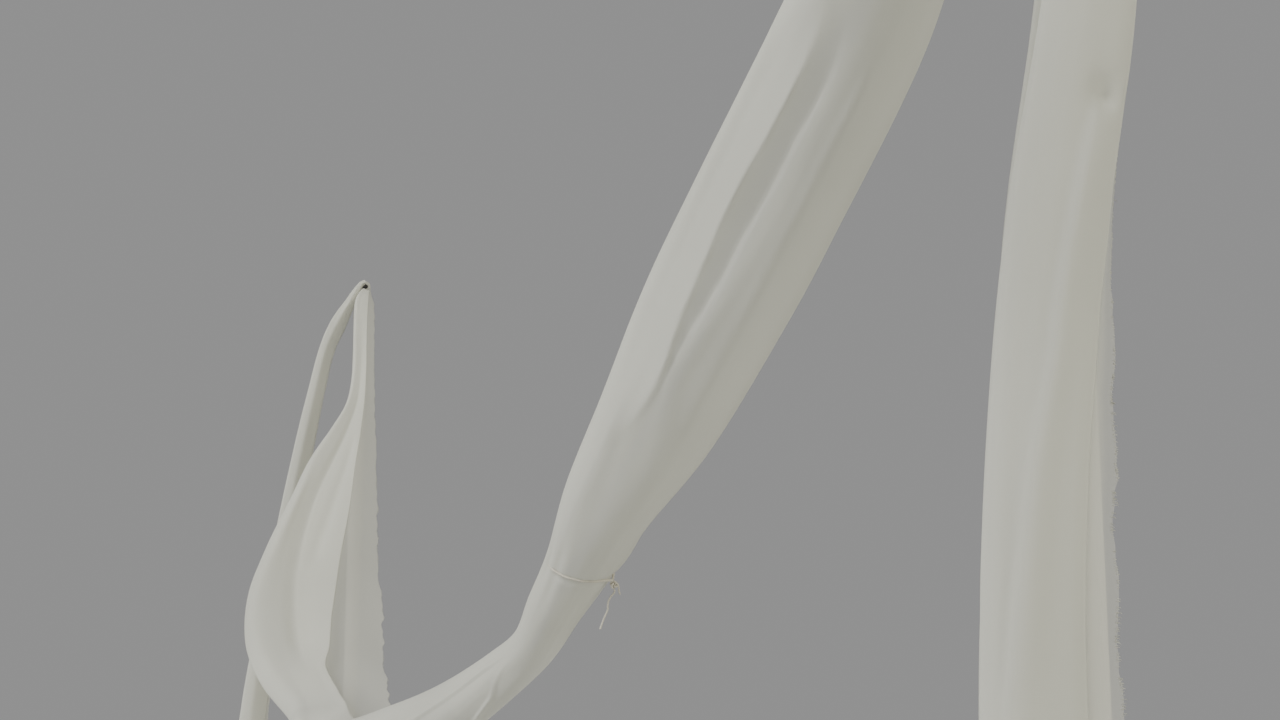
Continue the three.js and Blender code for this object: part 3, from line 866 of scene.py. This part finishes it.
# Each fitting's builder, material slot, look, and the angle from which an edge is sharp
FITTINGS = {
    "base_plate": (base_plate, "steel", "painted_steel", 30),
    "socket": (socket, "steel", "painted_steel", None),
    "clamp_screw": (clamp_screw, "hardware", "brushed_metal", 40),
    "lower_pole": (lambda: pole(*LOWER_POLE), "wood", "painted_wood", 40),
    "ferrule": (ferrule, "hardware", "brushed_metal", 40),
    "upper_pole": (lambda: pole(*UPPER_POLE), "wood", "painted_wood", 40),
    "cap": (cap, "hardware", "brushed_metal", 40),
    "hanger": (hanger, "dark_steel", "dark_iron", 40),
}
CORNERS = {"front_right": (HALF, -HALF), "back_right": (HALF, HALF),
           "back_left": (-HALF, HALF), "front_left": (-HALF, -HALF)}


def poles(materials):
    """All fittings on the four corners, turned so that the clamp screws point outward."""
    for corner, (x, y) in CORNERS.items():
        turn = math.copysign(1, x)
        for fitting, (build, slot, look, crease) in FITTINGS.items():
            points, faces = build()
            placed = np.array(points) * (turn, turn, 1) + (x, y, 0)
            node = f"{corner}_{fitting}"
            finished(f"{node}_finish", node, placed, faces, materials[look], crease)


# Materials
def new_material(name):
    material = bpy.data.materials.new(name)
    material.use_nodes = True
    tree = material.node_tree
    return material, tree, tree.nodes["Principled BSDF"]


def link(output, socket):
    socket.id_data.links.new(output, socket)


def set_inputs(node, **values):
    """Sets a node's plain inputs; a _ in a name stands for a space."""
    for name, value in values.items():
        node.inputs[name.replace("_", " ")].default_value = value


def add_node(tree, kind, **values):
    node = tree.nodes.new(kind)
    set_inputs(node, **values)
    return node


def stretched(tree, scale=(1, 1, 1), source="Object"):
    """Coordinates scaled by `scale`, for grain and streaks."""
    place = add_node(tree, "ShaderNodeTexCoord")
    mapping = add_node(tree, "ShaderNodeMapping", Scale=scale)
    link(place.outputs[source], mapping.inputs["Vector"])
    return mapping.outputs["Vector"]


def noise(tree, vector, scale, detail=3.0, distortion=0.0, roughness=0.5):
    node = add_node(tree, "ShaderNodeTexNoise", Scale=scale, Detail=detail, Roughness=roughness,
                    Distortion=distortion)
    link(vector, node.inputs["Vector"])
    return node.outputs["Fac"]


def ramp(tree, value, *stops):
    """A colour ramp; each stop is (position, colour or grey)."""
    node = add_node(tree, "ShaderNodeValToRGB")
    elements = node.color_ramp.elements
    while len(elements) < len(stops):
        elements.new(0.5)
    for element, (position, color) in zip(elements, stops):
        element.position = position
        element.color = (*color, 1) if isinstance(color, tuple) else (color, color, color, 1)
    link(value, node.inputs["Fac"])
    return node.outputs["Color"]


def ramp_to(tree, shader, socket, value, *stops):
    """A colour ramp linked to a socket of the shader."""
    link(ramp(tree, value, *stops), shader.inputs[socket])


def mixed(tree, factor, first, second):
    """One colour over another where `factor` is high. `second` is a socket or a plain colour."""
    mix = add_node(tree, "ShaderNodeMix")
    mix.data_type = "RGBA"
    link(factor, mix.inputs[FACTOR])
    link(first, mix.inputs[FIRST_COLOR])
    if isinstance(second, tuple):
        mix.inputs[SECOND_COLOR].default_value = (*second, 1)
    else:
        link(second, mix.inputs[SECOND_COLOR])
    return mix.outputs[MIXED_COLOR]


def mix_shaders(tree, first, second):
    mix = add_node(tree, "ShaderNodeMixShader")
    link(first.outputs[0], mix.inputs[1])
    link(second.outputs[0], mix.inputs[2])
    return mix


def bumped(tree, shader, *layers):
    """Bump layers, each (height, strength, distance), one over the other, into the shader's normal."""
    normal = None
    for height, strength, distance in layers:
        node = add_node(tree, "ShaderNodeBump", Strength=strength, Distance=distance)
        link(height, node.inputs["Height"])
        if normal:
            link(normal, node.inputs["Normal"])
        normal = node.outputs["Normal"]
    link(normal, shader.inputs["Normal"])


def voile(sheer_edge=OPEN_WEAVE):
    """Thin off-white voile: a plain weave with some thicker threads, and soft crumples. It is a little open
    all over, and its right edge is open by `sheer_edge`."""
    material, tree, shader = new_material("voile")
    set_inputs(shader, Roughness=0.92, Sheen_Weight=0.2, Sheen_Roughness=0.6, Specular_IOR_Level=0.2)
    place = stretched(tree)
    color = ramp(tree, noise(tree, place, 3.0), (0.3, (0.775, 0.775, 0.705)), (0.7, (0.835, 0.835, 0.765)))
    link(color, shader.inputs["Base Color"])
    crumple = noise(tree, place, 42.0, 6.0)
    warp = noise(tree, stretched(tree, (1400, 60, 1), source="UV"), 1.0, 1.0)
    weft = noise(tree, stretched(tree, (60, 1400, 1), source="UV"), 1.0, 1.0)
    bumped(tree, shader, (crumple, 0.12, 0.004), (warp, 0.25, 0.0004), (weft, 0.25, 0.0004))
    glow = add_node(tree, "ShaderNodeBsdfTranslucent")
    link(color, glow.inputs["Color"])
    cloth = mix_shaders(tree, shader, glow)
    set_inputs(cloth, Fac=GLOW_SHARE)
    weave = mix_shaders(tree, cloth, add_node(tree, "ShaderNodeBsdfTransparent"))
    place = add_node(tree, "ShaderNodeTexCoord")
    split = add_node(tree, "ShaderNodeSeparateXYZ")
    link(place.outputs["UV"], split.inputs["Vector"])
    openness = ramp(tree, split.outputs["X"], (SHEER_BEGINS, OPEN_WEAVE), (SHEER_FULL, sheer_edge))
    link(openness, weave.inputs["Fac"])
    link(weave.outputs["Shader"], tree.nodes["Material Output"].inputs["Surface"])
    return material


def painted_steel():
    """Off-white powder coat with a fine orange peel and a few rubbed grey scuffs."""
    material, tree, shader = new_material("painted_steel")
    place = stretched(tree)
    scuff = ramp(tree, noise(tree, place, 60, 8, roughness=0.65), (0.66, 0), (0.70, 1))
    paint = ramp(tree, noise(tree, place, 7, 4), (0.3, (0.70, 0.69, 0.65)), (0.7, (0.79, 0.78, 0.75)))
    link(mixed(tree, scuff, paint, (0.36, 0.35, 0.33)), shader.inputs["Base Color"])
    ramp_to(tree, shader, "Roughness", noise(tree, place, 25, 3), (0.2, 0.38), (0.8, 0.55))
    bumped(tree, shader, (noise(tree, place, 900, 2), 0.15, 0.0004), (scuff, 0.15, 0.0002))
    return material


def brushed_metal():
    """Bright metal with fine turned streaks and uneven gloss."""
    material, tree, shader = new_material("brushed_metal")
    streaks = noise(tree, stretched(tree, (30, 30, 900)), 1.0, 4)
    set_inputs(shader, Metallic=1.0)
    ramp_to(tree, shader, "Base Color", streaks, (0.3, (0.48, 0.46, 0.42)), (0.7, (0.64, 0.62, 0.57)))
    ramp_to(tree, shader, "Roughness", noise(tree, stretched(tree), 90, 5), (0.3, 0.26), (0.75, 0.46))
    bumped(tree, shader, (streaks, 0.12, 0.0003))
    return material


def dark_iron():
    """Dark iron with a faint grain, dull in places."""
    material, tree, shader = new_material("dark_iron")
    place = stretched(tree)
    set_inputs(shader, Metallic=0.8)
    ramp_to(tree, shader, "Base Color", noise(tree, place, 130, 6),
            (0.35, (0.022, 0.022, 0.024)), (0.7, (0.060, 0.056, 0.052)))
    ramp_to(tree, shader, "Roughness", noise(tree, place, 70, 4), (0.3, 0.42), (0.7, 0.62))
    bumped(tree, shader, (noise(tree, place, 500, 4), 0.2, 0.0004))
    return material


def painted_wood():
    """Off-white paint on planed wood, with faint grain and places rubbed thin."""
    material, tree, shader = new_material("painted_wood")
    grain = noise(tree, stretched(tree, (60, 60, 1.6)), 1.6, 6, distortion=0.8)
    pores = noise(tree, stretched(tree, (520, 520, 12)), 1.0, 3)
    wear = noise(tree, stretched(tree, (14, 14, 3)), 2.0, 8, roughness=0.7)
    rubbed = ramp(tree, wear, (0.64, 0), (0.72, 1))
    paint = ramp(tree, grain, (0.3, (0.70, 0.68, 0.62)), (0.7, (0.79, 0.77, 0.72)))
    bare = ramp(tree, grain, (0.3, (0.42, 0.31, 0.19)), (0.7, (0.60, 0.48, 0.33)))
    thin = add_node(tree, "ShaderNodeMath")
    thin.operation = "MULTIPLY"
    link(rubbed, thin.inputs[0])
    thin.inputs[1].default_value = 0.45
    link(mixed(tree, thin.outputs["Value"], paint, bare), shader.inputs["Base Color"])
    ramp_to(tree, shader, "Roughness", grain, (0.3, 0.56), (0.7, 0.44))
    bumped(tree, shader, (grain, 0.12, 0.001), (pores, 0.25, 0.0004))
    return material


def jute():
    """Pale beige cord with fine lengthways fibres."""
    material, tree, shader = new_material("jute")
    place = stretched(tree)
    set_inputs(shader, Roughness=0.9)
    ramp_to(tree, shader, "Base Color", noise(tree, place, 700, 4),
            (0.3, (0.54, 0.51, 0.43)), (0.7, (0.70, 0.67, 0.58)))
    bumped(tree, shader, (noise(tree, place, 2600, 3), 0.4, 0.0004))
    return material


# Studio
def lamp(name, where, power, color):
    """A square lamp aimed at the middle of the canopy."""
    data = bpy.data.lights.new(name, "AREA")
    data.size = LAMP_SIZE
    data.energy = power
    data.color = color
    light = bpy.data.objects.new(name, data)
    light.location = where
    aim = np.array(LAMPS_AIM) - np.array(where)
    light.rotation_euler = (math.atan2(math.hypot(aim[0], aim[1]), -aim[2]), 0,
                            math.atan2(aim[1], aim[0]) - math.pi / 2)
    light.visible_camera = False
    bpy.context.collection.objects.link(light)


def studio():
    world = bpy.data.worlds.new("studio")
    bpy.context.scene.world = world
    world.use_nodes = True
    set_inputs(world.node_tree.nodes["Background"], Color=WORLD_COLOR, Strength=1.0)
    lamp("key", *KEY)
    lamp("fill", *FILL)


def floor():
    bpy.ops.mesh.primitive_plane_add(size=FLOOR_SIZE)
    plane = bpy.context.object
    plane.name = "floor"
    plane.location.z = FLOOR_Z
    material, _, shader = new_material("pale_floor")
    set_inputs(shader, Base_Color=FLOOR_COLOR, Roughness=0.9)
    plane.data.materials.append(material)


# Making: the camera and the cords first
make_camera()
swag = side_swag()
swag_points = swag.points()
knot = swag.around(tie_share(KNOT_ANGLE) + KNOT_ALONG, KNOT_ANGLE, KNOT_OUT)
cord_material = jute()
tie_ends(knot, cord_material)
floor()
studio()
cloth_material = voile()
both_sides("side_swag", swag, swag_points, cloth_material)
drop = front_drop()
drop_material = voile(OPEN_WEAVE_AT_EDGE)
both_sides("front_drop", drop, drop.points(fray=0.0016), drop_material, hem=True)
tail = back_tail()
both_sides("back_tail", tail, tail.points(), cloth_material, hem=True)
valance_cloth(cloth_material)
tie_bands(swag, knot, cord_material)
poles({look.__name__: look() for look in (painted_steel, brushed_metal, painted_wood, dark_iron)})
